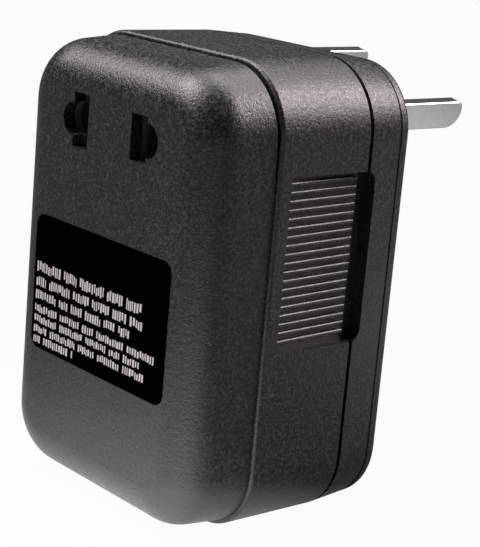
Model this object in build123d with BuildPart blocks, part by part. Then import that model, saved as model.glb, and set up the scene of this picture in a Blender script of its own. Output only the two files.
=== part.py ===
from build123d import *
import os
from math import atan, cos, degrees, radians, sin

# Plug-in voltage transformer: a three-piece moulded case with a two-slot
# outlet in front, two flat pins behind and a small mains
# autotransformer inside. All sizes are in millimetres. The bottom of the
# case is at Z = 0, the front faces -Y, and depths are measured back from
# the front face.

# Case
case_width = 50.0
case_height = 72.5
case_depth = 39.2
corner_radius = 11.1
wall = 2.0
front_joint = 12.3
rear_joint = 29.8
front_step = 0.65
front_inset = 1.7
rear_inset = 0.75
front_fillet = 6.6
rear_fillet = 1.4
frame_edge = 0.6
front_seam_width = 0.8
front_seam_length = 19.2
rear_seam_width = 0.75
seam_depth = 0.8
rim_thickness = 2.1
rim_groove_width = 0.3
rim_groove_depth = 0.16
rim_bevel_length = 1.0
rim_bevel_depth = 0.12
lip_length = 1.6
lip_wall = 0.9
lip_clearance = 0.1

# Finger grips, one on each side
grip_below_top = 15.9
grip_front = 14.8
grip_notch_rear = 31.9
grip_notch_depth = 2.6
grip_corner = 1.9
grip_crest_depth = 1.0
grip_valley_depth = 1.9
grip_wall = 1.4
rib_count = 19
rib_pitch = 1.325
rib_width = 0.64
rib_crest_width = 0.36
rib_low_margin = 1.65
rib_high_margin = 1.15
rib_rear_gap = 1.0
grip_front_step = 0.7

# Outlet slots
slot_below_top = 12.8
slot_inner = 5.4
slot_flat_width = 3.9
slot_round_at = 9.4
slot_round_radius = 2.6
wide_slot_height = 8.4
narrow_slot_height = 7.0

# Rating label
label_width = 34.6
label_height = 21.8
label_corner = 1.8
label_below_top = 40.15
label_thickness = 0.3
label_recess = 0.15
label_clearance = 0.1

# Plug pins
pin_boss_offset = 6.0
pin_lean = 12.5
pin_thickness = 2.2
pin_height = 4.6
pin_length = 19.0
pin_below_top = 7.75
pin_upper_radius = 1.4
pin_lower_radius = 2.9
pin_edge = 0.15
pad_side_margin = 1.3
pad_top_margin = 0.7
pad_rise = 4.6
pad_corner = 2.4
shoulder_width = 4.0
shoulder_height = 4.2
shoulder_thickness = 1.2
tag_thickness = 0.8
tag_height = 3.4
tag_length = 5.0
tag_clearance = 0.1
pin_clearance = 0.05

# Pin retainer and its two screws
retainer_margin = 0.2
retainer_corner = 1.0
retainer_thickness = 1.4
retainer_screw_at = 4.6
small_screw_radius = 1.0
small_head_radius = 1.8
small_head_thickness = 1.2
small_screw_grip = 4.2

# Case screws
boss_inset = 7.1
boss_radius = 3.5
boss_front = 5.0
screw_radius = 1.45
screw_head_radius = 2.6
screw_head_thickness = 1.9
screw_head_sink = 2.5
screw_clearance = 0.15
head_clearance = 0.25
screw_front = 6.0
drive_width = 0.7
drive_length = 3.4
drive_depth = 0.9

# Transformer core, cut from E and I sheets in the usual proportions
core_boss_gap = 0.3
clamp_sheet = 0.8
clamp_width = 12.0
clamp_lip = 5.0
clamp_clearance = 0.05

# Coil
bobbin_wall = 0.8
bobbin_clearance = 0.12
coil_gap = 0.3
inner_winding_share = 0.535
wrap_margin = 0.1
tape_thickness = 0.25
layer_clearance = 0.04
terminal_radius = 0.4
terminal_length = 6.0
terminal_rail_width = 3.4
terminal_rail_height = 2.6
terminal_clearance = 0.06
terminal_offset = 1.3
coil_pad_length = 12.0
coil_pad_height = 16.0
coil_pad_thickness = 1.1
pad_gap = 0.1

# Socket block, contacts and barrier
block_boss_gap = 0.4
block_side_wall = 1.1
block_height = 11.8
block_edge = 1.6
block_seat_gap = 0.25
block_depth = 12.6
block_front_wall = 1.2
block_gap = 0.15
pocket_height = 9.4
pocket_inner = 4.5
contact_sheet = 0.5
contact_height = 5.0
contact_start = 7.4
contact_tag_length = 4.6
contact_clearance = 0.1
contact_bow = 2.3
contact_flare = 1.8
contact_bend = 0.4
contact_straight = 1.6
contact_tag_height = 3.0
pocket_clearance = 0.1
socket_retainer_thickness = 1.4
post_radius = 2.4
post_length = 4.6
post_clearance = 0.15
barrier_thickness = 0.5
barrier_boss_gap = 0.9
barrier_gap = 0.15

# Core posts in the covers
core_post_height = 4.6
front_post_width = 6.0
front_post_x = 10.5
rear_post_lead_gap = 0.4
rear_post_edge = 0.7
core_post_gap = 0.08

# Thermal fuse and leads
fuse_radius = 1.9
fuse_length = 10.0
fuse_wire_radius = 0.5
fuse_wire_length = 3.0
sleeve_wall = 0.35
sleeve_clearance = 0.08
sleeve_gap = 0.1
lead_radius = 0.65
lead_bend = 1.9
lead_gap = 0.1
lead_side_gap = 0.5
contact_lead_run = 5.0

# Derived places. Heights are measured from the middle of the case.
pin_reach = pad_rise + pin_length
label_stand = label_thickness - label_recess
front_y = -(case_depth + pin_reach - label_stand) / 2
front_draft = degrees(atan((front_inset - front_step) / front_joint))
rear_draft = degrees(atan(rear_inset / (case_depth - rear_joint)))
case_side = case_width / 2
case_top = case_height / 2
inner_rear = case_depth - wall
screw_rear = case_depth - screw_head_sink
boss_x = case_side - boss_inset
boss_z = case_top - boss_inset
slot_height_at = case_top - slot_below_top
block_half_length = boss_x - boss_radius - block_boss_gap
block_length = 2 * block_half_length
pocket_length = block_half_length - block_side_wall - pocket_inner
barrier_length = 2 * (boss_x - boss_radius - barrier_boss_gap)
label_at = case_top - label_below_top
pin_at = case_top - pin_below_top
pin_x = boss_x - pin_boss_offset
pin_pitch = 2 * pin_x
lean_cos = cos(radians(pin_lean))
lean_sin = sin(radians(pin_lean))
pin_line = (lean_cos, 0, -lean_sin)
grip_high = case_top - grip_below_top
rib_row_length = (rib_count - 1) * rib_pitch
grip_low = grip_high - rib_high_margin - rib_row_length - rib_low_margin
rib_middle = grip_high - rib_high_margin - rib_row_length / 2

# The core fills the height between the outlet block and the lower screw bosses
core_cover = clamp_sheet + clamp_clearance
barrier_under = slot_height_at - block_height / 2 - block_seat_gap - barrier_thickness
core_top = barrier_under - barrier_gap - core_cover
core_bottom = boss_inset + boss_radius + core_boss_gap + core_cover - case_top
core_unit = (core_top - core_bottom) / 6
core_at = (core_top + core_bottom) / 2
core_half_height = 3 * core_unit
core_half_width = 2.5 * core_unit

# The windings fill the core's windows, and the stack takes the depth that the coil leaves
bobbin_inner_z = core_unit + bobbin_clearance
coil_reach = core_unit - bobbin_clearance - coil_gap
inner_start = bobbin_wall + layer_clearance
wrap_end = coil_reach - wrap_margin
wrap_start = wrap_end - tape_thickness
winding_room = wrap_start - inner_start - tape_thickness - 3 * layer_clearance
inner_end = inner_start + inner_winding_share * winding_room
tape_start = inner_end + layer_clearance
tape_end = tape_start + tape_thickness
outer_start = tape_end + layer_clearance
outer_end = wrap_start - layer_clearance
core_depth_at = case_depth / 2
coil_half_depth = core_depth_at - wall - coil_pad_thickness - 2 * pad_gap
core_stack = 2 * (coil_half_depth - wrap_end - bobbin_clearance)
core_front = core_depth_at - core_stack / 2
core_rear = core_depth_at + core_stack / 2
coil_rear = core_depth_at + coil_half_depth
coil_front = core_depth_at - coil_half_depth
bobbin_length = 3 * core_unit - 2 * bobbin_clearance
rail_x = bobbin_length / 2 - bobbin_wall + terminal_rail_width / 2
terminal_x = rail_x + bobbin_wall / 2

# The posts behind the core stand between the leads and the core's outer edge
rear_post_inner = terminal_x + lead_radius + rear_post_lead_gap
rear_post_outer = core_half_width - rear_post_edge
rear_post_width = rear_post_outer - rear_post_inner
rear_post_x = (rear_post_outer + rear_post_inner) / 2
core_post_end = core_rear + core_post_gap


def face_plane(depth):
    # Plane across the case at a depth, seen from the front: X right, Y up
    return Plane(origin=(0, front_y + depth, case_height / 2), x_dir=(1, 0, 0), z_dir=(0, -1, 0))


def plug_plane(depth):
    # Plane across the case at a depth, centred between the pins, with X along their line
    return Plane(origin=place(0, depth, pin_at), x_dir=pin_line, z_dir=(0, -1, 0))


def plug_point(along, across):
    # X and height of a point given along and across the line of the pins
    return (
        along * lean_cos + across * lean_sin,
        pin_at - along * lean_sin + across * lean_cos,
    )


def level_plane(height):
    # Horizontal plane at a height above or below the middle of the case
    return Plane(origin=(0, front_y, case_height / 2 + height), x_dir=(1, 0, 0), z_dir=(0, 0, 1))


def place(x, depth, height):
    # Point from its X, its depth and its height above the middle
    return (x, front_y + depth, case_height / 2 + height)


def cross_plane(x, depth, height):
    # Plane across a piece that lies along X
    return Plane(origin=place(x, depth, height), x_dir=(0, 1, 0), z_dir=(1, 0, 0))


def case_outline(inset, mode=Mode.ADD):
    # Outline of the case from the front, drawn inwards by the inset
    RectangleRounded(
        case_width - 2 * inset,
        case_height - 2 * inset,
        corner_radius - inset,
        mode=mode,
    )


def case_block(start, end, inset, draft=0, edge_radius=0):
    # Rounded block of the case from one depth to another, narrowing by the draft
    with BuildPart() as block:
        with BuildSketch(face_plane(start)):
            case_outline(inset)
        extrude(amount=start - end, taper=draft)
        if edge_radius:
            last = block.faces().filter_by(Axis.Y).sort_by(Axis.Y)[0 if end < start else -1]
            fillet(last.edges(), edge_radius)
    return block.part


def boss_points():
    # Centres of the four screw bosses
    return [(sx * boss_x, sz * boss_z) for sx in (-1, 1) for sz in (-1, 1)]


def slot_outline(side, slot_height, grow=0):
    # Flat blade slot joined to the round pin hole outside it
    flat_centre = side * (slot_inner + slot_flat_width / 2)
    with Locations((flat_centre, slot_height_at)):
        Rectangle(slot_flat_width + 2 * grow, slot_height + 2 * grow)
    with Locations((side * slot_round_at, slot_height_at)):
        Circle(slot_round_radius + grow)


def core_posts(start, end, post_x, post_width):
    # Four posts that end against the outer legs of the core
    leg_at = 2.5 * core_unit
    with BuildPart() as posts:
        with BuildSketch(face_plane(start)):
            with Locations((0, core_at)):
                with GridLocations(2 * post_x, 2 * leg_at, 2, 2):
                    Rectangle(post_width, core_post_height)
        extrude(amount=start - end)
    return posts.part


def lip_ring(start, end, outer_inset, inner_inset, boss_relief):
    # Joint lip round the case, relieved at the screw bosses
    with BuildPart() as ring:
        with BuildSketch(face_plane(start)):
            case_outline(outer_inset)
        extrude(amount=start - end)
        with BuildSketch(face_plane(start)):
            case_outline(inner_inset)
            with Locations(boss_points()):
                Circle(boss_radius + boss_relief)
        extrude(amount=start - end, mode=Mode.SUBTRACT)
    return ring.part


def edge_groove(rear, width, inset):
    # Ring cut into the outside of the case, down to an inset from the outline
    with BuildPart() as groove:
        with BuildSketch(face_plane(rear)):
            case_outline(-1)
            case_outline(inset, Mode.SUBTRACT)
        extrude(amount=width)
    return groove.part


def side_band(start, end, low, high):
    # Block right across the case between two depths and two heights
    with BuildPart() as band:
        with BuildSketch(face_plane(start)):
            with Locations((0, (low + high) / 2)):
                Rectangle(case_width, high - low)
        extrude(amount=start - end)
    return band.part


lip_outer = wall - lip_wall + lip_clearance
rabbet_depth = lip_length + lip_clearance
grip_margin = grip_wall + lip_clearance
grip_low_end = grip_low - grip_margin
grip_high_end = grip_high + grip_margin

# Seam behind the front cover, open at the top of the case and closing down its sides
seam_plane = Plane(
    origin=place(0, front_joint, case_top - front_seam_length),
    x_dir=(1, 0, 0),
    z_dir=(0, front_seam_length, front_seam_width),
)
front_seam = split(
    edge_groove(front_joint, front_seam_width, front_step + seam_depth),
    bisect_by=seam_plane,
    keep=Keep.TOP,
)

# Front cover: tapered shell with the slots, the label recess, the screw bosses and inner posts
with BuildPart() as front_cover:
    add(case_block(front_joint, 0, front_step, front_draft, front_fillet))
    add(
        case_block(front_joint, wall, front_step + wall, front_draft, front_fillet - wall),
        mode=Mode.SUBTRACT,
    )
    with BuildSketch(face_plane(front_joint)):
        with Locations(boss_points()):
            Circle(boss_radius)
    extrude(amount=front_joint - boss_front)
    with BuildSketch(face_plane(wall + post_length)):
        with Locations((0, slot_height_at)):
            Circle(post_radius)
    extrude(amount=post_length)
    add(core_posts(core_front - core_post_gap, wall, front_post_x, front_post_width))
    add(lip_ring(front_joint + lip_length, front_joint, lip_outer, front_step + wall, lip_clearance))
    with BuildSketch(face_plane(front_joint)):
        with Locations(boss_points()):
            Circle(screw_radius + screw_clearance)
    extrude(amount=front_joint - screw_front + screw_clearance, mode=Mode.SUBTRACT)
    with BuildSketch(face_plane(wall + post_length)):
        with Locations((0, slot_height_at)):
            Circle(small_screw_radius + screw_clearance / 2)
    extrude(amount=small_screw_grip + screw_clearance, mode=Mode.SUBTRACT)
    with BuildSketch(face_plane(wall)):
        slot_outline(-1, wide_slot_height)
        slot_outline(1, narrow_slot_height)
    extrude(amount=wall, mode=Mode.SUBTRACT)
    add(front_seam, mode=Mode.SUBTRACT)
    with BuildSketch(face_plane(label_recess)):
        with Locations((0, label_at)):
            RectangleRounded(
                label_width + 2 * label_clearance,
                label_height + 2 * label_clearance,
                label_corner + label_clearance,
            )
    extrude(amount=label_recess, mode=Mode.SUBTRACT)

# Middle frame: straight ring with screw tubes and the ribbed finger grips. The ribs
# have sloping flanks and sink into the case towards the rear.
rib_flank = (rib_width - rib_crest_width) / 2
rib_direction = Vector(-grip_crest_depth, rear_joint - grip_front, 0).normalized()
rib_length = (rear_joint - rib_rear_gap - grip_front) / rib_direction.Y
with BuildPart() as grip_cut:
    with BuildSketch(level_plane(grip_low)):
        with BuildLine():
            Polyline(
                (case_side, grip_front),
                (case_side - grip_front_step, grip_front + grip_front_step),
                (case_side - grip_valley_depth, rear_joint),
                (case_side + 1, rear_joint),
                (case_side + 1, grip_front),
                close=True,
            )
        make_face()
    extrude(amount=grip_high - grip_low)
    with BuildSketch(face_plane(grip_front)):
        with Locations((case_side, rib_middle)):
            with GridLocations(1, rib_pitch, 1, rib_count):
                Polygon(
                    (0, -rib_crest_width / 2),
                    (0, rib_crest_width / 2),
                    (-rib_flank, rib_width / 2),
                    (-2 * grip_valley_depth, rib_width / 2),
                    (-2 * grip_valley_depth, -rib_width / 2),
                    (-rib_flank, -rib_width / 2),
                    align=None,
                )
    extrude(amount=rib_length, dir=rib_direction, mode=Mode.SUBTRACT)
    with BuildSketch(level_plane(grip_low)):
        with BuildLine():
            Polyline(
                (case_side, grip_front),
                (case_side - grip_crest_depth, rear_joint),
                (case_side + 1, rear_joint),
                (case_side + 1, grip_front),
                close=True,
            )
        make_face()
    extrude(amount=grip_high - grip_low)
left_grip_cut = mirror(grip_cut.part, about=Plane.YZ)

grip_inner = case_side - grip_valley_depth - grip_wall
grip_outer = case_side - wall / 2
grip_middle = (grip_low + grip_high) / 2
frame_pad_front = front_joint + rabbet_depth + lip_clearance
with BuildPart() as middle_frame:
    add(case_block(rear_joint, front_joint, 0))
    fillet(middle_frame.faces().filter_by(Axis.Y).sort_by(Axis.Y)[0].edges(), frame_edge)
    add(case_block(rear_joint, front_joint, wall), mode=Mode.SUBTRACT)
    with BuildSketch(face_plane(rear_joint)):
        with Locations((0, grip_middle)):
            with GridLocations(grip_inner + grip_outer, 1, 2, 1):
                Rectangle(grip_outer - grip_inner, grip_high_end - grip_low_end)
    extrude(amount=rear_joint - frame_pad_front)
    with BuildSketch(face_plane(rear_joint)):
        with Locations(boss_points()):
            Circle(boss_radius)
    extrude(amount=rear_joint - front_joint)
    with BuildSketch(face_plane(rear_joint)):
        with Locations(boss_points()):
            Circle(screw_radius + screw_clearance)
    extrude(amount=rear_joint - front_joint, mode=Mode.SUBTRACT)
    add(
        lip_ring(front_joint + rabbet_depth, front_joint, wall - lip_wall, wall, 0),
        mode=Mode.SUBTRACT,
    )
    add(
        lip_ring(rear_joint, rear_joint - rabbet_depth, wall - lip_wall, wall, 0)
        - side_band(rear_joint, rear_joint - rabbet_depth, grip_low_end, grip_high_end),
        mode=Mode.SUBTRACT,
    )
    add(grip_cut.part, mode=Mode.SUBTRACT)
    add(left_grip_cut, mode=Mode.SUBTRACT)

# Back cover: shell with the grip notches, the screw bosses, the raised pad and the pin openings
with BuildPart() as notch_cut:
    with BuildSketch(Plane.YZ.offset(case_side - grip_notch_depth)) as notch:
        with Locations((front_y + (rear_joint + grip_notch_rear) / 2, case_height / 2 + grip_middle)):
            Rectangle(grip_notch_rear - rear_joint, grip_high - grip_low)
        fillet(notch.vertices().sort_by(Axis.X)[-2:], grip_corner)
    extrude(amount=grip_notch_depth + 1)
left_notch_cut = mirror(notch_cut.part, about=Plane.YZ)

notch_inner = case_side - grip_notch_depth - grip_wall
rim_front = case_depth - rim_thickness
rim_inset = rear_inset * (rim_front - rim_groove_width - rear_joint) / (case_depth - rear_joint)
rim_bevel_angle = degrees(atan(rim_bevel_depth / rim_bevel_length))
with BuildPart() as back_cover:
    add(case_block(rear_joint, case_depth, 0, rear_draft, rear_fillet))
    add(case_block(rear_joint, inner_rear, wall, rear_draft), mode=Mode.SUBTRACT)
    with BuildSketch(face_plane(grip_notch_rear + grip_wall)):
        with Locations((0, grip_middle)):
            with GridLocations(notch_inner + grip_outer, 1, 2, 1):
                Rectangle(grip_outer - notch_inner, grip_high_end - grip_low_end)
    extrude(amount=grip_notch_rear + grip_wall - rear_joint)
    with BuildSketch(face_plane(inner_rear)):
        with Locations(boss_points()):
            Circle(boss_radius)
    extrude(amount=shoulder_thickness)
    with BuildSketch(plug_plane(inner_rear)):
        with Locations((-retainer_screw_at, 0), (retainer_screw_at, 0)):
            Circle(small_head_radius)
    extrude(amount=shoulder_thickness)
    with BuildSketch(face_plane(inner_rear)):
        with Locations(boss_points()):
            Circle(boss_radius)
    extrude(amount=inner_rear - rear_joint)
    add(core_posts(inner_rear, core_post_end, rear_post_x, rear_post_width))
    add(
        lip_ring(rear_joint, rear_joint - lip_length, lip_outer, wall, lip_clearance)
        - side_band(
            rear_joint,
            rear_joint - lip_length,
            grip_low_end - lip_clearance,
            grip_high_end + lip_clearance,
        )
    )
    with BuildSketch(plug_plane(case_depth + pad_rise)):
        RectangleRounded(
            pin_pitch + pin_thickness + 2 * pad_side_margin,
            pin_height + 2 * pad_top_margin,
            pad_corner,
        )
    extrude(amount=pad_rise)
    add(edge_groove(rear_joint + rear_seam_width, rear_seam_width, seam_depth), mode=Mode.SUBTRACT)
    add(edge_groove(rim_front, rim_groove_width, rim_inset + rim_groove_depth), mode=Mode.SUBTRACT)
    with BuildSketch(face_plane(rim_front - rim_groove_width)):
        case_outline(-1)
        case_outline(rim_inset + rim_bevel_depth, Mode.SUBTRACT)
    extrude(amount=rim_bevel_length, taper=rim_bevel_angle, mode=Mode.SUBTRACT)
    with BuildSketch(face_plane(case_depth)):
        with Locations(boss_points()):
            Circle(screw_radius + screw_clearance)
    extrude(amount=case_depth - rear_joint, mode=Mode.SUBTRACT)
    with BuildSketch(face_plane(case_depth)):
        with Locations(boss_points()):
            Circle(screw_head_radius + head_clearance)
    extrude(amount=screw_head_sink, mode=Mode.SUBTRACT)
    with BuildSketch(plug_plane(case_depth + pad_rise)):
        with Locations((-pin_x, 0), (pin_x, 0)):
            Rectangle(pin_thickness + 2 * pin_clearance, pin_height + 2 * pin_clearance)
    extrude(amount=pad_rise + wall, mode=Mode.SUBTRACT)
    with BuildSketch(plug_plane(inner_rear + small_screw_grip)):
        with Locations((-retainer_screw_at, 0), (retainer_screw_at, 0)):
            Circle(small_screw_radius + screw_clearance / 2)
    extrude(amount=small_screw_grip + shoulder_thickness, mode=Mode.SUBTRACT)
    add(notch_cut.part, mode=Mode.SUBTRACT)
    add(left_notch_cut, mode=Mode.SUBTRACT)

# Rating label, stuck in its recess
with BuildPart() as label_plate:
    with BuildSketch(face_plane(label_recess)):
        with Locations((0, label_at)):
            RectangleRounded(label_width, label_height, label_corner)
    extrude(amount=label_thickness)


def plug_pin(side):
    # Flat pin with a rounded nose, an inner shoulder and a solder tag
    pin_end = case_depth + pin_reach
    shoulder_front = inner_rear - shoulder_thickness
    centre = (side * pin_x, 0)
    with BuildPart() as pin:
        with BuildSketch(plug_plane(pin_end)):
            with Locations(centre):
                Rectangle(pin_thickness, pin_height)
        extrude(amount=pin_end - inner_rear)
        across_pin = Axis((0, 0, 0), pin_line)
        tip = pin.faces().filter_by(Axis.Y).sort_by(Axis.Y)[-1]
        lower_edge, upper_edge = tip.edges().filter_by(across_pin).sort_by(Axis.Z)
        fillet(lower_edge, pin_lower_radius)
        fillet(upper_edge, pin_upper_radius)
        tip_end = front_y + pin_end
        tip_edges = pin.edges().filter_by_position(Axis.Y, tip_end - pin_lower_radius, tip_end)
        chamfer(tip_edges.filter_by(across_pin, reverse=True), pin_edge)
        with BuildSketch(plug_plane(inner_rear)):
            with Locations(centre):
                Rectangle(shoulder_width, shoulder_height)
        extrude(amount=shoulder_thickness)
        with BuildSketch(plug_plane(shoulder_front)):
            with Locations(centre):
                Rectangle(tag_thickness, tag_height)
        extrude(amount=tag_length)
    return pin.part


left_pin = plug_pin(-1)
right_pin = plug_pin(1)

# Plate that holds the two pin shoulders against the back wall
retainer_rear = inner_rear - shoulder_thickness
with BuildPart() as pin_retainer:
    with BuildSketch(plug_plane(retainer_rear)):
        RectangleRounded(
            pin_pitch + shoulder_width - 2 * retainer_margin,
            shoulder_height - 2 * retainer_margin,
            retainer_corner,
        )
        with Locations((-pin_x, 0), (pin_x, 0)):
            Rectangle(
                tag_thickness + 2 * tag_clearance,
                tag_height + 2 * tag_clearance,
                mode=Mode.SUBTRACT,
            )
        with Locations((-retainer_screw_at, 0), (retainer_screw_at, 0)):
            Circle(small_screw_radius + screw_clearance, mode=Mode.SUBTRACT)
    extrude(amount=retainer_thickness)


def small_screw(x, height, seat):
    # Self-tapping screw that points to the rear, with its flat head in front of the seat
    with BuildPart() as screw:
        with BuildSketch(face_plane(seat)):
            with Locations((x, height)):
                Circle(small_head_radius)
        extrude(amount=small_head_thickness)
        with BuildSketch(face_plane(seat)):
            with Locations((x, height)):
                Circle(small_screw_radius)
        extrude(amount=-retainer_thickness - small_screw_grip)
    return screw.part


retainer_front = retainer_rear - retainer_thickness
retainer_screw_pair = [
    small_screw(*plug_point(side * retainer_screw_at, 0), retainer_front)
    for side in (-1, 1)
]

# Four long case screws, driven from the back
with BuildPart() as case_screws:
    with BuildSketch(face_plane(screw_rear + screw_head_thickness)):
        with Locations(boss_points()):
            Circle(screw_head_radius)
    extrude(amount=screw_head_thickness)
    with BuildSketch(face_plane(screw_rear)):
        with Locations(boss_points()):
            Circle(screw_radius)
    extrude(amount=screw_rear - screw_front)
    with BuildSketch(face_plane(screw_rear + screw_head_thickness)):
        with Locations(boss_points()):
            Rectangle(drive_length, drive_width)
            Rectangle(drive_width, drive_length)
    extrude(amount=drive_depth, mode=Mode.SUBTRACT)

# Core sheets: the E stack opens towards +X and the I stack closes it
with BuildPart() as core_e_stack:
    with BuildSketch(face_plane(core_rear)):
        with Locations((-core_unit / 2, core_at)):
            Rectangle(4 * core_unit, 2 * core_half_height)
        for side in (-1, 1):
            with Locations((0, core_at + side * 1.5 * core_unit)):
                Rectangle(3 * core_unit, core_unit, mode=Mode.SUBTRACT)
    extrude(amount=core_stack)
with BuildPart() as core_i_stack:
    with BuildSketch(face_plane(core_rear)):
        with Locations((2 * core_unit, core_at)):
            Rectangle(core_unit, 2 * core_half_height)
    extrude(amount=core_stack)

# Steel clamp bent over the top of the core with two crimped lips below
clamp_in_x = core_half_width + clamp_clearance
clamp_in_z = core_half_height + clamp_clearance
with BuildPart() as core_clamp:
    with BuildSketch(face_plane(core_depth_at + clamp_width / 2)):
        with Locations((0, core_at)):
            Rectangle(2 * (clamp_in_x + clamp_sheet), 2 * (clamp_in_z + clamp_sheet))
            Rectangle(2 * clamp_in_x, 2 * clamp_in_z, mode=Mode.SUBTRACT)
        with Locations((0, core_at - clamp_in_z - clamp_sheet / 2)):
            Rectangle(2 * (clamp_in_x - clamp_lip), 2 * clamp_sheet, mode=Mode.SUBTRACT)
    extrude(amount=clamp_width)

# Bobbin, two windings and their insulation, all round the middle leg
bobbin_inner_y = core_stack / 2 + bobbin_clearance
winding_length = bobbin_length - 2 * bobbin_wall - 2 * layer_clearance


def coil_ring(inside, outside, length, centre_x=0):
    # Rectangular ring about the middle leg, measured out from the bobbin's opening
    with BuildPart() as ring:
        with BuildSketch(cross_plane(centre_x - length / 2, core_depth_at, core_at)):
            Rectangle(2 * (bobbin_inner_y + outside), 2 * (bobbin_inner_z + outside))
            Rectangle(2 * (bobbin_inner_y + inside), 2 * (bobbin_inner_z + inside), mode=Mode.SUBTRACT)
        extrude(amount=length)
    return ring.part


terminal_front = core_rear + terminal_offset
terminal_middle = (core_rear + coil_rear) / 2
terminal_rear = 2 * terminal_middle - terminal_front
rail_top = core_at + bobbin_inner_z + coil_reach
terminal_points = [
    (-terminal_x, terminal_front),
    (-terminal_x, terminal_middle),
    (-terminal_x, terminal_rear),
    (terminal_x, terminal_front),
    (terminal_x, terminal_rear),
]
rail_depth_length = bobbin_inner_y + coil_reach - core_stack / 2 - bobbin_clearance

with BuildPart() as bobbin:
    add(coil_ring(0, bobbin_wall, bobbin_length))
    flange_shift = bobbin_length / 2 - bobbin_wall / 2
    add(coil_ring(0, coil_reach, bobbin_wall, -flange_shift))
    add(coil_ring(0, coil_reach, bobbin_wall, flange_shift))
    with BuildSketch(level_plane(rail_top)):
        with Locations((-rail_x, core_rear + bobbin_clearance + rail_depth_length / 2)):
            Rectangle(terminal_rail_width, rail_depth_length)
        with Locations((rail_x, core_rear + bobbin_clearance + rail_depth_length / 2)):
            Rectangle(terminal_rail_width, rail_depth_length)
    extrude(amount=-terminal_rail_height)
    with BuildSketch(level_plane(rail_top)):
        with Locations(terminal_points):
            Circle(terminal_radius + terminal_clearance)
    extrude(amount=-terminal_rail_height, mode=Mode.SUBTRACT)

with BuildPart() as bobbin_terminals:
    with BuildSketch(level_plane(rail_top - terminal_rail_height)):
        with Locations(terminal_points):
            Circle(terminal_radius)
    extrude(amount=terminal_length)

common_winding = coil_ring(inner_start, inner_end, winding_length)
layer_tape = coil_ring(tape_start, tape_end, winding_length)
series_winding = coil_ring(outer_start, outer_end, winding_length)
outer_wrap = coil_ring(wrap_start, wrap_end, winding_length)

# Foam pads between the coil and the covers
with BuildPart() as coil_pads:
    with BuildSketch(face_plane(coil_front - pad_gap)):
        with Locations((0, core_at)):
            Rectangle(coil_pad_length, coil_pad_height)
    extrude(amount=coil_front - wall - 2 * pad_gap)
    with BuildSketch(face_plane(inner_rear - pad_gap)):
        with Locations((0, core_at)):
            Rectangle(coil_pad_length, coil_pad_height)
    extrude(amount=inner_rear - coil_rear - 2 * pad_gap)

# Insulating block that carries the two contacts behind the slots
block_front = wall + block_gap
block_rear = block_front + block_depth
with BuildPart() as socket_block:
    with BuildSketch(face_plane(block_rear)):
        with Locations((0, slot_height_at)):
            Rectangle(block_length, block_height)
    extrude(amount=block_depth)
    front_edges = socket_block.faces().filter_by(Axis.Y).sort_by(Axis.Y)[0].edges()
    chamfer(front_edges.filter_by(Axis.X).sort_by(Axis.Z)[-1], block_edge)
    with BuildSketch(face_plane(block_rear)):
        for side in (-1, 1):
            with Locations((side * (pocket_inner + pocket_length / 2), slot_height_at)):
                Rectangle(pocket_length, pocket_height)
    extrude(amount=block_depth - block_front_wall, mode=Mode.SUBTRACT)
    with BuildSketch(face_plane(block_rear)):
        slot_outline(-1, wide_slot_height, pocket_clearance)
        slot_outline(1, narrow_slot_height, pocket_clearance)
    extrude(amount=block_depth, mode=Mode.SUBTRACT)
    with BuildSketch(face_plane(wall + post_length + post_clearance)):
        with Locations((0, slot_height_at)):
            Circle(post_radius + post_clearance)
    extrude(amount=post_length + post_clearance, mode=Mode.SUBTRACT)
    with BuildSketch(face_plane(block_rear)):
        with Locations((0, slot_height_at)):
            Circle(small_screw_radius + screw_clearance)
    extrude(amount=block_depth, mode=Mode.SUBTRACT)


def slot_contact(side):
    # Folded spring strip: a straight inner arm, a back and a bowed outer arm, with a solder tag
    back = block_rear - contact_clearance - contact_sheet / 2
    arm_in = pocket_inner + contact_clearance + contact_sheet / 2
    arm_out = pocket_inner + pocket_length - contact_clearance - contact_sheet / 2
    bow_x = slot_inner + contact_bow
    tag_x = (arm_in + arm_out) / 2
    with BuildPart() as contact:
        with BuildSketch(level_plane(slot_height_at - contact_height / 2)):
            with BuildLine():
                FilletPolyline(
                    (side * arm_in, contact_start),
                    (side * arm_in, back),
                    (side * arm_out, back),
                    (side * arm_out, back - contact_straight),
                    (side * bow_x, contact_start + contact_straight),
                    (side * (bow_x + contact_flare), contact_start),
                    radius=contact_bend,
                )
            trace(line_width=contact_sheet)
        extrude(amount=contact_height)
        with BuildSketch(level_plane(slot_height_at - contact_height / 2)):
            with Locations((side * tag_x, back + contact_tag_length / 2)):
                Rectangle(contact_sheet, contact_tag_length)
        extrude(amount=contact_tag_height)
    return contact.part


wide_contact = slot_contact(-1)
narrow_contact = slot_contact(1)

with BuildPart() as socket_retainer:
    with BuildSketch(face_plane(block_rear + socket_retainer_thickness)):
        with Locations((0, slot_height_at)):
            Rectangle(block_length, block_height)
            Circle(small_screw_radius + screw_clearance, mode=Mode.SUBTRACT)
        for side in (-1, 1):
            with Locations((side * (pocket_inner + pocket_length / 2), slot_height_at)):
                Rectangle(
                    contact_sheet + 2 * contact_clearance,
                    contact_height + 2 * contact_clearance,
                    mode=Mode.SUBTRACT,
                )
    extrude(amount=socket_retainer_thickness)

socket_screw_seat = block_rear + socket_retainer_thickness
with BuildPart() as socket_screw:
    with BuildSketch(face_plane(socket_screw_seat + small_head_thickness)):
        with Locations((0, slot_height_at)):
            Circle(small_head_radius)
    extrude(amount=small_head_thickness)
    with BuildSketch(face_plane(socket_screw_seat)):
        with Locations((0, slot_height_at)):
            Circle(small_screw_radius)
    extrude(amount=socket_screw_seat - wall - post_length + small_screw_grip)

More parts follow.
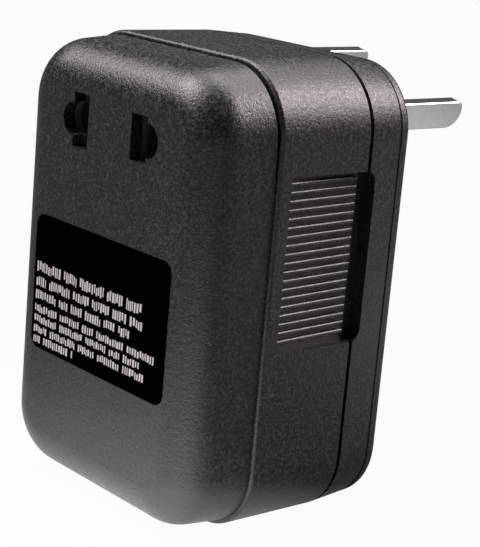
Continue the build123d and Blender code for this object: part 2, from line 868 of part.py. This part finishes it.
# Insulating sheet between the core and the outlet
clamp_top = core_at + clamp_in_z + clamp_sheet
with BuildPart() as barrier_sheet:
    with BuildSketch(level_plane(clamp_top + barrier_gap)):
        with Locations((0, (wall + pad_gap + core_rear) / 2)):
            Rectangle(barrier_length, core_rear - wall - pad_gap)
    extrude(amount=barrier_thickness)

# Thermal fuse in its sleeve, lying on the back of the coil
fuse_depth = terminal_middle
fuse_at = core_at + bobbin_inner_z + wrap_end + sleeve_gap + fuse_radius + sleeve_clearance + sleeve_wall


with BuildPart() as thermal_fuse:
    with BuildSketch(cross_plane(-fuse_length / 2, fuse_depth, fuse_at)):
        Circle(fuse_radius)
    extrude(amount=fuse_length)
    with BuildSketch(cross_plane(-fuse_length / 2 - fuse_wire_length, fuse_depth, fuse_at)):
        Circle(fuse_wire_radius)
    extrude(amount=fuse_length + 2 * fuse_wire_length)

with BuildPart() as fuse_sleeve:
    with BuildSketch(cross_plane(-fuse_length / 2, fuse_depth, fuse_at)):
        Circle(fuse_radius + sleeve_clearance + sleeve_wall)
        Circle(fuse_radius + sleeve_clearance, mode=Mode.SUBTRACT)
    extrude(amount=fuse_length)


def lead(*points):
    # Insulated wire along straight runs with round bends
    route = [Vector(*place(*point)) for point in points]
    with BuildPart() as wire:
        with BuildLine() as path:
            FilletPolyline(*route, radius=lead_bend)
        start = Plane(origin=path.line @ 0, z_dir=path.line % 0)
        with BuildSketch(start):
            Circle(lead_radius)
        sweep(path=path.line)
    return wire.part


# Four leads between the pins, the fuse, the coil terminals and the contacts
lead_depth = retainer_front - lead_radius - 2 * lead_gap
live_x, live_tag_end = plug_point(pin_x, -tag_height / 2)
neutral_x, neutral_tag_end = plug_point(-pin_x, -tag_height / 2)
live_start = live_tag_end - lead_gap
neutral_start = neutral_tag_end - lead_gap
terminal_top = rail_top - terminal_rail_height + terminal_length + lead_gap
contact_x = pocket_inner + pocket_length / 2
contact_tag_end = block_rear - contact_clearance - contact_sheet / 2 + contact_tag_length + lead_gap
contact_lead_at = slot_height_at - contact_height / 2 + contact_tag_height / 2
fuse_end = fuse_length / 2 + fuse_wire_length + lead_gap
fuse_lead_x = fuse_end + lead_bend + lead_side_gap
live_third = (live_start - terminal_top) / 3
neutral_third = (neutral_start - terminal_top) / 3
live_input_lead = lead(
    (live_x, lead_depth, live_start),
    (live_x, lead_depth, live_start - live_third),
    (fuse_lead_x, fuse_depth, terminal_top + live_third),
    (fuse_lead_x, fuse_depth, fuse_at),
    (fuse_end, fuse_depth, fuse_at),
)
neutral_input_lead = lead(
    (neutral_x, lead_depth, neutral_start),
    (neutral_x, lead_depth, neutral_start - neutral_third),
    (-terminal_x, terminal_rear, terminal_top + neutral_third),
    (-terminal_x, terminal_rear, terminal_top),
)


def output_lead(side):
    # From a front terminal up and forward to the tag of a contact
    return lead(
        (side * terminal_x, terminal_front, terminal_top),
        (side * terminal_x, terminal_front, contact_lead_at),
        (side * contact_x, contact_tag_end + contact_lead_run, contact_lead_at),
        (side * contact_x, contact_tag_end, contact_lead_at),
    )


neutral_output_lead = output_lead(-1)
live_output_lead = output_lead(1)

pieces = {
    "front_cover": front_cover.part,
    "middle_frame": middle_frame.part,
    "back_cover": back_cover.part,
    "label_plate": label_plate.part,
    "left_plug_pin": left_pin,
    "right_plug_pin": right_pin,
    "pin_retainer": pin_retainer.part,
    "pin_retainer_screws": Compound(children=retainer_screw_pair),
    "case_screws": case_screws.part,
    "core_e_stack": core_e_stack.part,
    "core_i_stack": core_i_stack.part,
    "core_clamp": core_clamp.part,
    "bobbin": bobbin.part,
    "bobbin_terminals": bobbin_terminals.part,
    "common_winding": common_winding,
    "layer_tape": layer_tape,
    "series_winding": series_winding,
    "outer_wrap": outer_wrap,
    "coil_pads": coil_pads.part,
    "socket_block": socket_block.part,
    "wide_slot_contact": wide_contact,
    "narrow_slot_contact": narrow_contact,
    "socket_retainer": socket_retainer.part,
    "socket_screw": socket_screw.part,
    "barrier_sheet": barrier_sheet.part,
    "thermal_fuse": thermal_fuse.part,
    "fuse_sleeve": fuse_sleeve.part,
    "live_input_lead": live_input_lead,
    "neutral_input_lead": neutral_input_lead,
    "live_output_lead": live_output_lead,
    "neutral_output_lead": neutral_output_lead,
}

os.makedirs("parts", exist_ok=True)
for name, piece in pieces.items():
    piece.label = name
    export_step(piece, f"parts/{name}.step")
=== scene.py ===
import bmesh
import bpy
import math
import random
from mathutils import Matrix, Vector


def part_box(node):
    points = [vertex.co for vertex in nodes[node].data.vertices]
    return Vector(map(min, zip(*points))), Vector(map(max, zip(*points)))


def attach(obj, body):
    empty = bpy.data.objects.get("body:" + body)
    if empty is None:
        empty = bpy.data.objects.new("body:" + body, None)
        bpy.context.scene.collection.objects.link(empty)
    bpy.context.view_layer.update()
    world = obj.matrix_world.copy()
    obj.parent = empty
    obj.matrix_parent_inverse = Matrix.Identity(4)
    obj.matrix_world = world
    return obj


# Plug-in voltage transformer: finishes, label print, studio light and camera.
# Everything is in metres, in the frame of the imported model.

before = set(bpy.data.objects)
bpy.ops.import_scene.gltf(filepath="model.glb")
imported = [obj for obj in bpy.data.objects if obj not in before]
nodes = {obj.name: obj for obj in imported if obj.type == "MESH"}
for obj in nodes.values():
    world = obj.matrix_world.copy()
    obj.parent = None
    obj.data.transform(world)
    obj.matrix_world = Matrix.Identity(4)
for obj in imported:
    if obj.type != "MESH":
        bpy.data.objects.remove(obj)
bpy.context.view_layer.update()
mm = 0.001
print("frame loaded:", len(nodes), "nodes")


def srgb(red, green, blue):
    # Colour as a picture shows it, 0 to 255, turned into the linear values that shaders take
    values = []
    for part in (red, green, blue):
        part = part / 255
        values.append(part / 12.92 if part <= 0.04045 else ((part + 0.055) / 1.055) ** 2.4)
    return (*values, 1.0)


# Camera to the front right of the case, a little above its middle
cameraSettings = {
    "frontCentre": (0.0, -0.031325, 0.03625),
    "offset": (0.19882, -0.14580, 0.06559),
    "azimuth": 48.8,
    "elevation": 14.25,
    "roll": 5.03,
    "lens": 110.0,
    "nearest": 0.01,
}


def makeCamera(settings):
    data = bpy.data.cameras.new("studioCamera")
    data.lens = settings["lens"]
    data.clip_start = settings["nearest"]
    camera = bpy.data.objects.new("studioCamera", data)
    bpy.context.scene.collection.objects.link(camera)
    turn = (
        Matrix.Rotation(math.radians(settings["azimuth"]), 4, "Z")
        @ Matrix.Rotation(math.radians(90 - settings["elevation"]), 4, "X")
        @ Matrix.Rotation(math.radians(settings["roll"]), 4, "Z")
    )
    place = Vector(settings["frontCentre"]) + Vector(settings["offset"])
    camera.matrix_world = Matrix.Translation(place) @ turn
    bpy.context.scene.camera = camera


makeCamera(cameraSettings)
print("camera set")


# Small helpers for building shader trees
def link(tree, value, socket):
    if isinstance(value, (int, float, tuple)):
        socket.default_value = value
    else:
        tree.links.new(value, socket)


def mathNode(tree, operation, first, second=0.0, clamp=False):
    node = tree.nodes.new("ShaderNodeMath")
    node.operation = operation
    node.use_clamp = clamp
    link(tree, first, node.inputs[0])
    link(tree, second, node.inputs[1])
    return node.outputs[0]


def vectorNode(tree, operation, first, second):
    node = tree.nodes.new("ShaderNodeVectorMath")
    node.operation = operation
    link(tree, first, node.inputs[0])
    link(tree, second, node.inputs[1])
    return node.outputs["Value"]


def mixColour(tree, factor, first, second):
    # The colour sockets of this node are inputs 6 and 7 and output 2
    node = tree.nodes.new("ShaderNodeMix")
    node.data_type = "RGBA"
    link(tree, factor, node.inputs[0])
    link(tree, first, node.inputs[6])
    link(tree, second, node.inputs[7])
    return node.outputs[2]


def noiseNode(tree, vector, scale, detail, roughness):
    node = tree.nodes.new("ShaderNodeTexNoise")
    node.inputs["Detail"].default_value = detail
    node.inputs["Roughness"].default_value = roughness
    tree.links.new(vector, node.inputs["Vector"])
    link(tree, scale, node.inputs["Scale"])
    return node.outputs["Fac"]


def rampNode(tree, value, low, high, start=0.0, end=1.0):
    # Straight ramp between two values of the input, held at both ends
    node = tree.nodes.new("ShaderNodeMapRange")
    tree.links.new(value, node.inputs["Value"])
    for label, number in (("From Min", low), ("From Max", high), ("To Min", start), ("To Max", end)):
        node.inputs[label].default_value = number
    return node.outputs["Result"]


def newGroup(name, inputs, outputs):
    group = bpy.data.node_groups.new(name, "ShaderNodeTree")
    for label, kind in inputs:
        group.interface.new_socket(name=label, in_out="INPUT", socket_type=kind)
    for label, kind in outputs:
        group.interface.new_socket(name=label, in_out="OUTPUT", socket_type=kind)
    start = group.nodes.new("NodeGroupInput")
    end = group.nodes.new("NodeGroupOutput")
    return group, start, end


# Grain: a fine noise and a coarser one, mixed, whose high parts are the light specks
grainMix = {
    "fineShare": 0.55,
    "fineDetail": 2.0,
    "fineRoughness": 0.6,
    "pebbleScale": 0.45,
    "pebbleDetail": 1.0,
    "pebbleRoughness": 0.5,
    "specks": (0.48, 0.63),
    "middle": 0.5,
}


def makeGrainGroup(settings):
    # Fine moulded grain: speckled colour, uneven gloss and a pebbled height
    group, start, end = newGroup(
        "mouldedGrain",
        [
            ("Vector", "NodeSocketVector"),
            ("Base", "NodeSocketColor"),
            ("Speckle", "NodeSocketColor"),
            ("Grain Scale", "NodeSocketFloat"),
            ("Gloss", "NodeSocketFloat"),
            ("Gloss Spread", "NodeSocketFloat"),
        ],
        [
            ("Color", "NodeSocketColor"),
            ("Roughness", "NodeSocketFloat"),
            ("Height", "NodeSocketFloat"),
        ],
    )
    vector = start.outputs["Vector"]
    scale = start.outputs["Grain Scale"]
    fine = noiseNode(group, vector, scale, settings["fineDetail"], settings["fineRoughness"])
    coarser = mathNode(group, "MULTIPLY", scale, settings["pebbleScale"])
    pebble = noiseNode(
        group, vector, coarser, settings["pebbleDetail"], settings["pebbleRoughness"]
    )
    fine = mathNode(group, "MULTIPLY", fine, settings["fineShare"])
    pebble = mathNode(group, "MULTIPLY", pebble, 1 - settings["fineShare"])
    grain = mathNode(group, "ADD", fine, pebble)
    bright = rampNode(group, grain, *settings["specks"])
    colour = mixColour(group, bright, start.outputs["Base"], start.outputs["Speckle"])
    spread = mathNode(group, "SUBTRACT", grain, settings["middle"])
    spread = mathNode(group, "MULTIPLY", spread, start.outputs["Gloss Spread"])
    rough = mathNode(group, "ADD", start.outputs["Gloss"], spread, clamp=True)
    group.links.new(colour, end.inputs["Color"])
    group.links.new(rough, end.inputs["Roughness"])
    group.links.new(grain, end.inputs["Height"])
    return group


grainGroup = makeGrainGroup(grainMix)


def newMaterial(name):
    material = bpy.data.materials.new(name)
    material.use_nodes = True
    tree = material.node_tree
    tree.nodes.clear()
    out = tree.nodes.new("ShaderNodeOutputMaterial")
    shader = tree.nodes.new("ShaderNodeBsdfPrincipled")
    coords = tree.nodes.new("ShaderNodeTexCoord")
    tree.links.new(shader.outputs[0], out.inputs["Surface"])
    return material, tree, shader, coords.outputs["Object"]


def addBump(tree, shader, height, strength, distance):
    bump = tree.nodes.new("ShaderNodeBump")
    bump.inputs["Strength"].default_value = strength
    bump.inputs["Distance"].default_value = distance
    tree.links.new(height, bump.inputs["Height"])
    tree.links.new(bump.outputs["Normal"], shader.inputs["Normal"])


def grainMaterial(name, finish):
    material, tree, shader, coords = newMaterial(name)
    grain = tree.nodes.new("ShaderNodeGroup")
    grain.node_tree = grainGroup
    grain.inputs["Base"].default_value = finish["base"]
    grain.inputs["Speckle"].default_value = finish["speckle"]
    grain.inputs["Grain Scale"].default_value = finish["scale"]
    grain.inputs["Gloss"].default_value = finish["gloss"]
    grain.inputs["Gloss Spread"].default_value = finish.get("glossSpread", 0.2)
    tree.links.new(coords, grain.inputs["Vector"])
    tree.links.new(grain.outputs["Color"], shader.inputs["Base Color"])
    tree.links.new(grain.outputs["Roughness"], shader.inputs["Roughness"])
    shader.inputs["Metallic"].default_value = finish.get("metallic", 0.0)
    shader.inputs["Specular IOR Level"].default_value = finish.get("specular", 0.5)
    addBump(tree, shader, grain.outputs["Height"], finish["strength"], finish["distance"])
    return material


finishes = {
    "casePlastic": {
        "base": srgb(2, 6, 2),
        "speckle": srgb(59, 70, 59),
        "scale": 4100.0,
        "gloss": 0.38,
        "glossSpread": 0.8,
        "specular": 1.0,
        "strength": 1.0,
        "distance": 0.00011,
    },
    "labelFilm": {
        "base": srgb(2, 2, 2),
        "speckle": srgb(4, 4, 4),
        "scale": 1500.0,
        "gloss": 0.6,
        "strength": 0.04,
        "distance": 0.00001,
        "specular": 0.0,
    },
    "printWhite": {
        "base": srgb(226, 226, 224),
        "speckle": srgb(244, 244, 242),
        "scale": 5000.0,
        "gloss": 0.5,
        "strength": 0.05,
        "distance": 0.00001,
    },
    "innerPlastic": {
        "base": srgb(92, 102, 90),
        "speckle": srgb(106, 116, 104),
        "scale": 2200.0,
        "gloss": 0.55,
        "strength": 0.3,
        "distance": 0.00003,
    },
    "pinPlate": {
        "base": srgb(205, 211, 208),
        "speckle": srgb(214, 219, 216),
        "scale": 900.0,
        "gloss": 0.22,
        "glossSpread": 0.1,
        "strength": 0.06,
        "distance": 0.00001,
        "metallic": 1.0,
    },
    "springBronze": {
        "base": srgb(176, 128, 70),
        "speckle": srgb(200, 150, 90),
        "scale": 1600.0,
        "gloss": 0.3,
        "strength": 0.1,
        "distance": 0.00001,
        "metallic": 1.0,
    },
    "screwZinc": {
        "base": srgb(150, 152, 154),
        "speckle": srgb(180, 180, 182),
        "scale": 1500.0,
        "gloss": 0.32,
        "strength": 0.2,
        "distance": 0.00001,
        "metallic": 1.0,
    },
    "coreSteel": {
        "base": srgb(70, 72, 76),
        "speckle": srgb(96, 97, 100),
        "scale": 900.0,
        "gloss": 0.45,
        "strength": 0.3,
        "distance": 0.00002,
        "metallic": 0.8,
    },
    "windingCopper": {
        "base": srgb(150, 72, 34),
        "speckle": srgb(184, 100, 52),
        "scale": 1200.0,
        "gloss": 0.35,
        "strength": 0.3,
        "distance": 0.00003,
        "metallic": 0.7,
    },
    "filmTape": {
        "base": srgb(200, 160, 44),
        "speckle": srgb(220, 184, 70),
        "scale": 900.0,
        "gloss": 0.35,
        "strength": 0.1,
        "distance": 0.00002,
    },
    "foamPad": {
        "base": srgb(44, 44, 44),
        "speckle": srgb(70, 70, 70),
        "scale": 1800.0,
        "gloss": 0.9,
        "strength": 0.7,
        "distance": 0.0001,
    },
    "pressedPaper": {
        "base": srgb(120, 112, 98),
        "speckle": srgb(150, 142, 126),
        "scale": 1500.0,
        "gloss": 0.8,
        "strength": 0.3,
        "distance": 0.00003,
    },
    "fuseGlaze": {
        "base": srgb(226, 224, 214),
        "speckle": srgb(238, 236, 228),
        "scale": 800.0,
        "gloss": 0.25,
        "strength": 0.1,
        "distance": 0.00001,
    },
    "sleeveWeave": {
        "base": srgb(222, 216, 200),
        "speckle": srgb(240, 236, 224),
        "scale": 2500.0,
        "gloss": 0.7,
        "strength": 0.5,
        "distance": 0.00003,
    },
    "redWire": {
        "base": srgb(150, 24, 20),
        "speckle": srgb(170, 40, 34),
        "scale": 1500.0,
        "gloss": 0.45,
        "strength": 0.1,
        "distance": 0.00001,
    },
    "blueWire": {
        "base": srgb(30, 60, 150),
        "speckle": srgb(44, 78, 170),
        "scale": 1500.0,
        "gloss": 0.45,
        "strength": 0.1,
        "distance": 0.00001,
    },
}
materials = {name: grainMaterial(name, finish) for name, finish in finishes.items()}

wearing = {
    "casePlastic": ("front_cover", "middle_frame", "back_cover"),
    "labelFilm": ("label_plate",),
    "pinPlate": ("left_plug_pin", "right_plug_pin"),
    "innerPlastic": ("socket_block", "socket_retainer", "pin_retainer", "bobbin"),
    "springBronze": ("wide_slot_contact", "narrow_slot_contact", "bobbin_terminals"),
    "screwZinc": ("case_screws", "socket_screw", "pin_retainer_screws", "core_clamp"),
    "coreSteel": ("core_e_stack", "core_i_stack"),
    "windingCopper": ("common_winding", "series_winding"),
    "filmTape": ("layer_tape", "outer_wrap"),
    "foamPad": ("coil_pads",),
    "pressedPaper": ("barrier_sheet",),
    "fuseGlaze": ("thermal_fuse",),
    "sleeveWeave": ("fuse_sleeve",),
    "redWire": ("live_input_lead", "live_output_lead"),
    "blueWire": ("neutral_input_lead", "neutral_output_lead"),
}
for finish, wearers in wearing.items():
    for name in wearers:
        mesh = nodes[name].data
        mesh.materials.clear()
        mesh.materials.append(materials[finish])
print("finishes on", sum(len(wearers) for wearers in wearing.values()), "nodes")


# Label print: rows of plain upright strokes in place of words
printSettings = {
    "rows": (
        {"at": 8.5, "height": 1.75, "length": 27.7},
        {"at": 10.9, "height": 1.55, "length": 27.8},
        {"at": 13.1, "height": 1.5, "length": 24.8},
        {"at": 15.35, "height": 1.3, "length": 32.3},
        {"at": 17.05, "height": 1.25, "length": 28.2},
        {"at": 18.75, "height": 1.25, "length": 29.0},
        {"at": 20.4, "height": 1.3, "length": 11.2},
    ),
    "leftMargin": 0.75,
    "strokeWidth": (0.22, 0.5),
    "strokeGap": (0.16, 0.3),
    "wordStrokes": (4, 14),
    "wordGap": 0.75,
    "shortest": 0.72,
    "rises": (-0.5, 0.0, 0.5),
    "thickness": 0.02,
    "seed": 11,
}


def makeLabelPrint(settings):
    low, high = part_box("label_plate")
    random.seed(settings["seed"])
    shape = bmesh.new()
    for row in settings["rows"]:
        x = low[0] + settings["leftMargin"] * mm
        end = x + row["length"] * mm
        left = random.randint(*settings["wordStrokes"])
        while x < end:
            width = random.uniform(*settings["strokeWidth"]) * mm
            height = row["height"] * random.uniform(settings["shortest"], 1.0) * mm
            rise = (row["height"] * mm - height) * random.choice(settings["rises"])
            middle = high[2] - row["at"] * mm + rise
            place = Matrix.Translation((x + width / 2, low[1], middle))
            size = Matrix.Diagonal((width, settings["thickness"] * mm, height, 1.0))
            bmesh.ops.create_cube(shape, size=1.0, matrix=place @ size)
            x += width + random.uniform(*settings["strokeGap"]) * mm
            left -= 1
            if left == 0:
                x += settings["wordGap"] * mm
                left = random.randint(*settings["wordStrokes"])
    mesh = bpy.data.meshes.new("labelPrint")
    shape.to_mesh(mesh)
    shape.free()
    mesh.materials.append(materials["printWhite"])
    piece = bpy.data.objects.new("labelPrint", mesh)
    bpy.context.scene.collection.objects.link(piece)
    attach(piece, "root")
    print("label print:", len(mesh.polygons), "faces")


makeLabelPrint(printSettings)


# Studio: three broad soft lamps, a dim world and a dark floor with a painted pool of light to the
# front left, cut off by painted shade to the right back, and a small painted glow spot behind, which
# the plug pins reflect
studio = {
    "floorSize": 6.0,
    "floorShown": 0.96,
    # Painted pool of light on the floor, fading away from the case and cut off by painted shade to
    # the right back
    "poolLitSide": (-0.66, -0.75, 0.0),
    "paintedPoolCentre": (0.03, -0.02, 0.0),
    "paintedShadowEdge": (-0.02, 0.012),
    "paintedPoolFade": (0.032, 0.14),
    # Painted glow spot behind the case, which the plug pins reflect
    "glowSpotPlace": (0.08, 0.105, 0.0),
    "glowSpotFade": (0.03, 0.06),
    "glowSpotTone": 0.28,
    "paintedPoolTone": 0.7,
    "tableTone": 0.14,
    "worldStrength": 0.05,
    "reflectedWorld": 0.045,
    "lamps": (
        {
            "name": "leftLamp",
            "from": (-0.53, -0.42, 0.74),
            "strength": 3.0,
            "angle": 41.0,
            "colour": (1.0, 0.93, 0.96),
        },
        {
            "name": "rearLamp",
            "from": (0.36, 0.70, 0.60),
            "strength": 2.6,
            "angle": 34.0,
            "colour": (1.0, 0.89, 0.91),
        },
        {
            "name": "topLamp",
            "from": (-0.20, 0.36, 0.91),
            "strength": 1.5,
            "angle": 40.0,
            "colour": (1.0, 0.96, 0.97),
        },
    ),
}


def rayKinds(tree):
    # 1 for rays from the camera and through glass, then 1 for rays in reflections
    path = tree.nodes.new("ShaderNodeLightPath")
    throughGlass = path.outputs["Is Transmission Ray"]
    seen = mathNode(tree, "MAXIMUM", path.outputs["Is Camera Ray"], throughGlass)
    return seen, path.outputs["Is Glossy Ray"]


def makeWorld(settings):
    # White to the camera, and dim for the light on the case and in reflections
    world = bpy.data.worlds.new("studioWorld")
    bpy.context.scene.world = world
    world.use_nodes = True
    tree = world.node_tree
    tree.nodes.clear()
    out = tree.nodes.new("ShaderNodeOutputWorld")
    light = tree.nodes.new("ShaderNodeBackground")
    seen, glossy = rayKinds(tree)
    less = mathNode(tree, "MULTIPLY", glossy, settings["worldStrength"] - settings["reflectedWorld"])
    strength = mathNode(tree, "SUBTRACT", settings["worldStrength"], less)
    strength = mathNode(tree, "MAXIMUM", strength, seen)
    tree.links.new(strength, light.inputs["Strength"])
    light.inputs["Color"].default_value = (1.0, 1.0, 1.0, 1.0)
    tree.links.new(light.outputs[0], out.inputs["Surface"])


def paintedLightTone(tree, settings):
    # Painted light on the floor: 1 in the middle of the painted pool of light, less on its way out
    # and on the painted glow spot, 0 on the bare table and under the painted shade to the right back
    coords = tree.nodes.new("ShaderNodeTexCoord").outputs["Object"]
    away = vectorNode(tree, "DISTANCE", coords, settings["paintedPoolCentre"])
    fade = rampNode(tree, away, *settings["paintedPoolFade"], 1.0, 0.0)
    fade = mathNode(tree, "MULTIPLY", fade, fade)
    # Painted shade: the pool of light is cut off towards the right back, standing in for the case's
    # shadow there
    towards = vectorNode(tree, "DOT_PRODUCT", coords, settings["poolLitSide"])
    paintedPool = mathNode(tree, "MULTIPLY", fade, rampNode(tree, towards, *settings["paintedShadowEdge"]))
    # Painted glow spot behind the case, for the plug pins to reflect
    fromGlowSpot = vectorNode(tree, "DISTANCE", coords, settings["glowSpotPlace"])
    glowSpot = rampNode(tree, fromGlowSpot, *settings["glowSpotFade"], settings["glowSpotTone"], 0.0)
    return mathNode(tree, "MAXIMUM", paintedPool, glowSpot)


def makeFloorMaterial(settings):
    # Nearly white to the camera with a light shadow, matte for the light on the case with its colour
    # lighter in the painted pool of light, and a painted glow on the pool and on the glow spot in
    # reflections
    material = bpy.data.materials.new("floorWhite")
    material.use_nodes = True
    tree = material.node_tree
    tree.nodes.clear()
    out = tree.nodes.new("ShaderNodeOutputMaterial")
    paintedLight = paintedLightTone(tree, settings)
    seen, glossy = rayKinds(tree)
    # Floor colour lighter in the painted pool of light and on the painted glow spot
    tone = mathNode(tree, "MULTIPLY", paintedLight, settings["paintedPoolTone"] - settings["tableTone"])
    tone = mathNode(tree, "ADD", tone, settings["tableTone"])
    matte = tree.nodes.new("ShaderNodeBsdfDiffuse")
    tree.links.new(tone, matte.inputs["Color"])
    white = tree.nodes.new("ShaderNodeEmission")
    mix = tree.nodes.new("ShaderNodeMixShader")
    tree.links.new(mathNode(tree, "MULTIPLY", seen, settings["floorShown"]), mix.inputs[0])
    tree.links.new(matte.outputs[0], mix.inputs[1])
    tree.links.new(white.outputs[0], mix.inputs[2])
    # Painted glow: the painted light on the floor shines in reflections only
    glow = tree.nodes.new("ShaderNodeEmission")
    tree.links.new(mathNode(tree, "MULTIPLY", glossy, paintedLight), glow.inputs["Strength"])
    both = tree.nodes.new("ShaderNodeAddShader")
    tree.links.new(mix.outputs[0], both.inputs[0])
    tree.links.new(glow.outputs[0], both.inputs[1])
    tree.links.new(both.outputs[0], out.inputs["Surface"])
    return material


def makeFloor(settings):
    shape = bmesh.new()
    bmesh.ops.create_grid(shape, x_segments=2, y_segments=2, size=settings["floorSize"] / 2)
    mesh = bpy.data.meshes.new("studioFloor")
    shape.to_mesh(mesh)
    shape.free()
    mesh.materials.append(makeFloorMaterial(settings))
    floor = bpy.data.objects.new("studioFloor", mesh)
    bpy.context.scene.collection.objects.link(floor)


def makeLamp(settings):
    data = bpy.data.lights.new(settings["name"], "SUN")
    data.energy = settings["strength"]
    data.angle = math.radians(settings["angle"])
    data.color = settings["colour"]
    lamp = bpy.data.objects.new(settings["name"], data)
    bpy.context.scene.collection.objects.link(lamp)
    lamp.rotation_mode = "QUATERNION"
    lamp.rotation_quaternion = Vector(settings["from"]).to_track_quat("Z", "Y")
    lamp.location = Vector(settings["from"])


makeWorld(studio)
makeFloor(studio)
for lampSettings in studio["lamps"]:
    makeLamp(lampSettings)
bpy.context.scene.view_settings.view_transform = "Standard"
print("studio lit")
